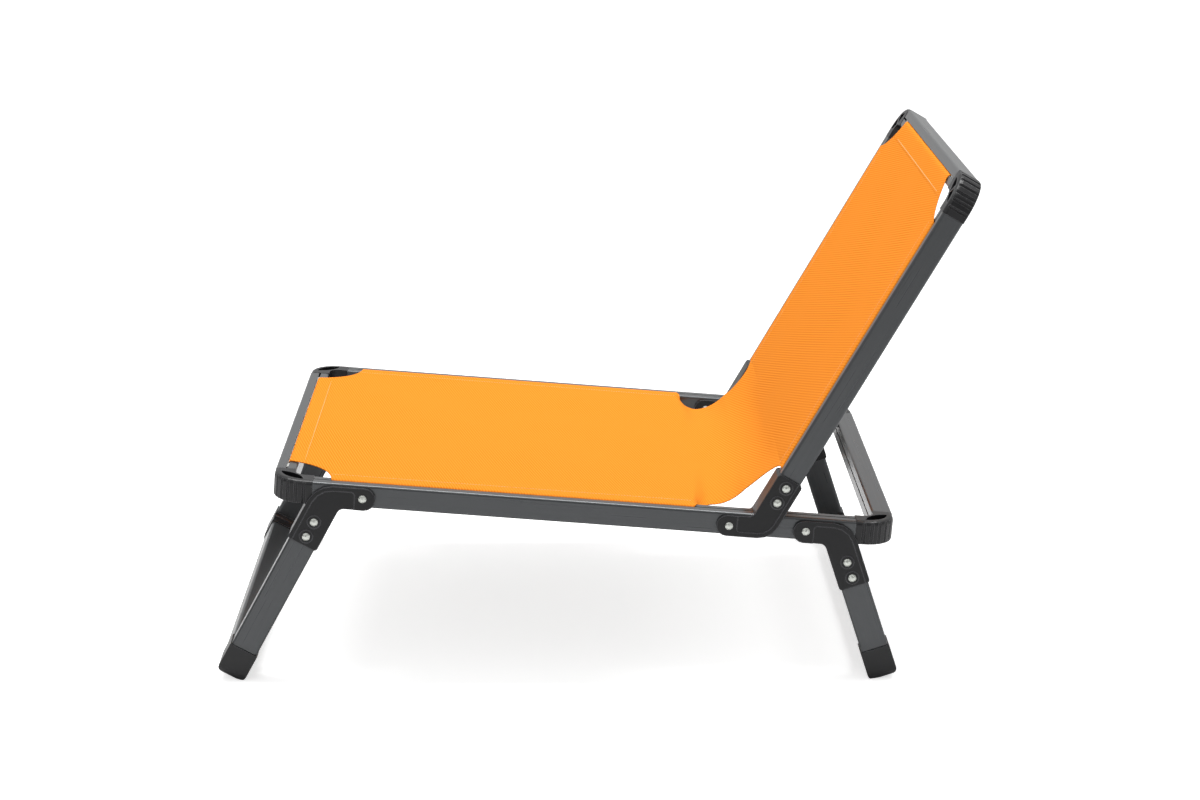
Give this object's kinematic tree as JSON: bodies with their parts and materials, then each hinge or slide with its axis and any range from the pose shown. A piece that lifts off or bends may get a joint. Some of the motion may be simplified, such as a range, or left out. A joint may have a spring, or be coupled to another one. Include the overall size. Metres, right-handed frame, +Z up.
{
  "type": "folding lounge chair",
  "caption": "Low folding lounge chair: tubular frame with moulded elbows, an orange cloth sling, and a backrest and two U-shaped legs that fold flat on forked hinge brackets.",
  "frame": {"origin": "On the floor under the middle of the opened chair's bounding box.", "axes": "+X from the front legs towards the backrest, +Y to the sitter's right, +Z up."},
  "size_m": [0.8945, 0.5732, 0.6082],
  "materials": {
    "tube": "satin anthracite coat on drawn aluminium tube",
    "nylon": "black moulded nylon, fine grain",
    "rivet": "bright plated steel",
    "cloth": "orange woven synthetic sling cloth",
    "welt": "white welt rod"
  },
  "bodies": {
    "seat_frame": {"back_hinge_pin_left": "rivet", "back_hinge_pin_right": "rivet", "front_leg_hinge_pin_left": "rivet", "front_leg_hinge_pin_right": "rivet", "rear_leg_hinge_pin_left": "rivet", "rear_leg_hinge_pin_right": "rivet", "seat_elbow_front_left": "nylon", "seat_elbow_front_right": "nylon", "seat_elbow_rear_left": "nylon", "seat_elbow_rear_right": "nylon", "seat_front_bar": "tube", "seat_rail_left": "tube", "seat_rail_right": "tube", "seat_rear_bar": "tube", "seat_welt_front": "welt", "seat_welt_left": "welt", "seat_welt_right": "welt", "sling_bend": "cloth", "sling_seat": "cloth"},
    "backrest": {"back_bracket_left": "nylon", "back_bracket_right": "nylon", "back_elbow_left": "nylon", "back_elbow_right": "nylon", "back_rail_left": "tube", "back_rail_right": "tube", "back_rivet_lower_left": "rivet", "back_rivet_lower_right": "rivet", "back_rivet_upper_left": "rivet", "back_rivet_upper_right": "rivet", "back_top_bar": "tube", "back_welt_left": "welt", "back_welt_right": "welt", "back_welt_top": "welt", "sling_back": "cloth"},
    "front_leg": {"front_leg_bar": "tube", "front_leg_bracket_left": "nylon", "front_leg_bracket_right": "nylon", "front_leg_foot_left": "nylon", "front_leg_foot_right": "nylon", "front_leg_rivet_lower_left": "rivet", "front_leg_rivet_lower_right": "rivet", "front_leg_rivet_upper_left": "rivet", "front_leg_rivet_upper_right": "rivet", "front_leg_tube_left": "tube", "front_leg_tube_right": "tube"},
    "rear_leg": {"rear_leg_bar": "tube", "rear_leg_bracket_left": "nylon", "rear_leg_bracket_right": "nylon", "rear_leg_foot_left": "nylon", "rear_leg_foot_right": "nylon", "rear_leg_rivet_lower_left": "rivet", "rear_leg_rivet_lower_right": "rivet", "rear_leg_rivet_upper_left": "rivet", "rear_leg_rivet_upper_right": "rivet", "rear_leg_tube_left": "tube", "rear_leg_tube_right": "tube"}
  },
  "joints": [
    {"name": "back_fold", "type": "hinge", "parent": "seat_frame", "child": "backrest", "pos_m": [0.16108, 0, 0.19363], "axis": [0, -1, 0], "range_deg": [0, 115.5], "deforming": ["sling_bend"]},
    {"name": "front_leg_fold", "type": "hinge", "parent": "seat_frame", "child": "front_leg", "pos_m": [-0.26962, 0, 0.22715], "axis": [0, -1, 0], "range_deg": [0, 114.15]},
    {"name": "rear_leg_fold", "type": "hinge", "parent": "seat_frame", "child": "rear_leg", "pos_m": [0.2518, 0, 0.18657], "axis": [0, 1, 0], "range_deg": [0, 112.65]}
  ]
}
